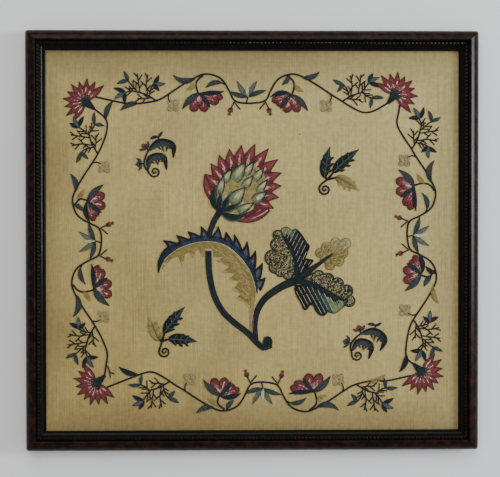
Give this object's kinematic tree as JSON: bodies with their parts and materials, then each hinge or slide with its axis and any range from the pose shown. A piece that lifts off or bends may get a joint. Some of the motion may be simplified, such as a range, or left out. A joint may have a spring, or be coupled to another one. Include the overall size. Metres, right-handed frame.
{
  "type": "framed crewel embroidery panel",
  "caption": "Flat linen panel embroidered in wool with a winding flower border and a middle branch, held in a dark mitred frame.",
  "frame": {"origin": "middle of the frame's back, on the surface that it lies on", "axes": "+X along the width, +Y to the top of the picture, +Z out of the face"},
  "size_m": [0.48, 0.445, 0.02],
  "materials": {
    "lacquer": "glossy tortoiseshell-like lacquer",
    "ebonised": "ebonised satin with a ripple strip",
    "board": "plain board",
    "linen": "plain-weave linen with slubs",
    "wool_vine": "stem-stitched crewel wool",
    "wool_navy": "satin-stitched crewel wool",
    "wool_teal": "satin-stitched crewel wool",
    "wool_red": "long-and-short-stitched crewel wool",
    "wool_ochre": "long-and-short-stitched crewel wool",
    "wool_cream": "satin-stitched crewel wool",
    "wool_speckled": "knotted and seeded crewel wool"
  },
  "bodies": {
    "root": {"arch_lining": "wool_ochre", "back_board": "board", "comma_sprig_1": "wool_vine", "comma_sprig_2": "wool_vine", "corner_calyx_bottom_left": "wool_teal", "corner_calyx_bottom_right": "wool_teal", "corner_calyx_top_left": "wool_teal", "corner_calyx_top_right": "wool_teal", "corner_flower_bottom_left": "wool_red", "corner_flower_bottom_right": "wool_red", "corner_flower_top_left": "wool_red", "corner_flower_top_right": "wool_red", "flower_petals": "wool_red", "flower_scales": "wool_cream", "flower_stem": "wool_teal", "leafy_sprig_1": "wool_vine", "leafy_sprig_2": "wool_vine", "linen": "linen", "main_stem": "wool_navy", "moulding_bottom": "ebonised", "moulding_left": "ebonised", "moulding_right": "ebonised", "moulding_top": "ebonised", "oak_leaf": "wool_ochre", "rail_bottom": "lacquer", "rail_left": "lacquer", "rail_right": "lacquer", "rail_top": "lacquer", "speckled_leaf_lower": "wool_speckled", "speckled_leaf_upper": "wool_speckled", "striped_leaf_lower": "wool_teal", "striped_leaf_upper": "wool_teal", "toothed_leaf": "wool_navy", "tulip_bottom_left": "wool_red", "tulip_bottom_right": "wool_red", "tulip_left_high": "wool_red", "tulip_left_low": "wool_red", "tulip_right_high": "wool_red", "tulip_right_low": "wool_red", "tulip_top_left": "wool_red", "tulip_top_right": "wool_red", "vine_bottom": "wool_vine", "vine_left": "wool_vine", "vine_right": "wool_vine", "vine_top": "wool_vine"}
  },
  "joints": []
}
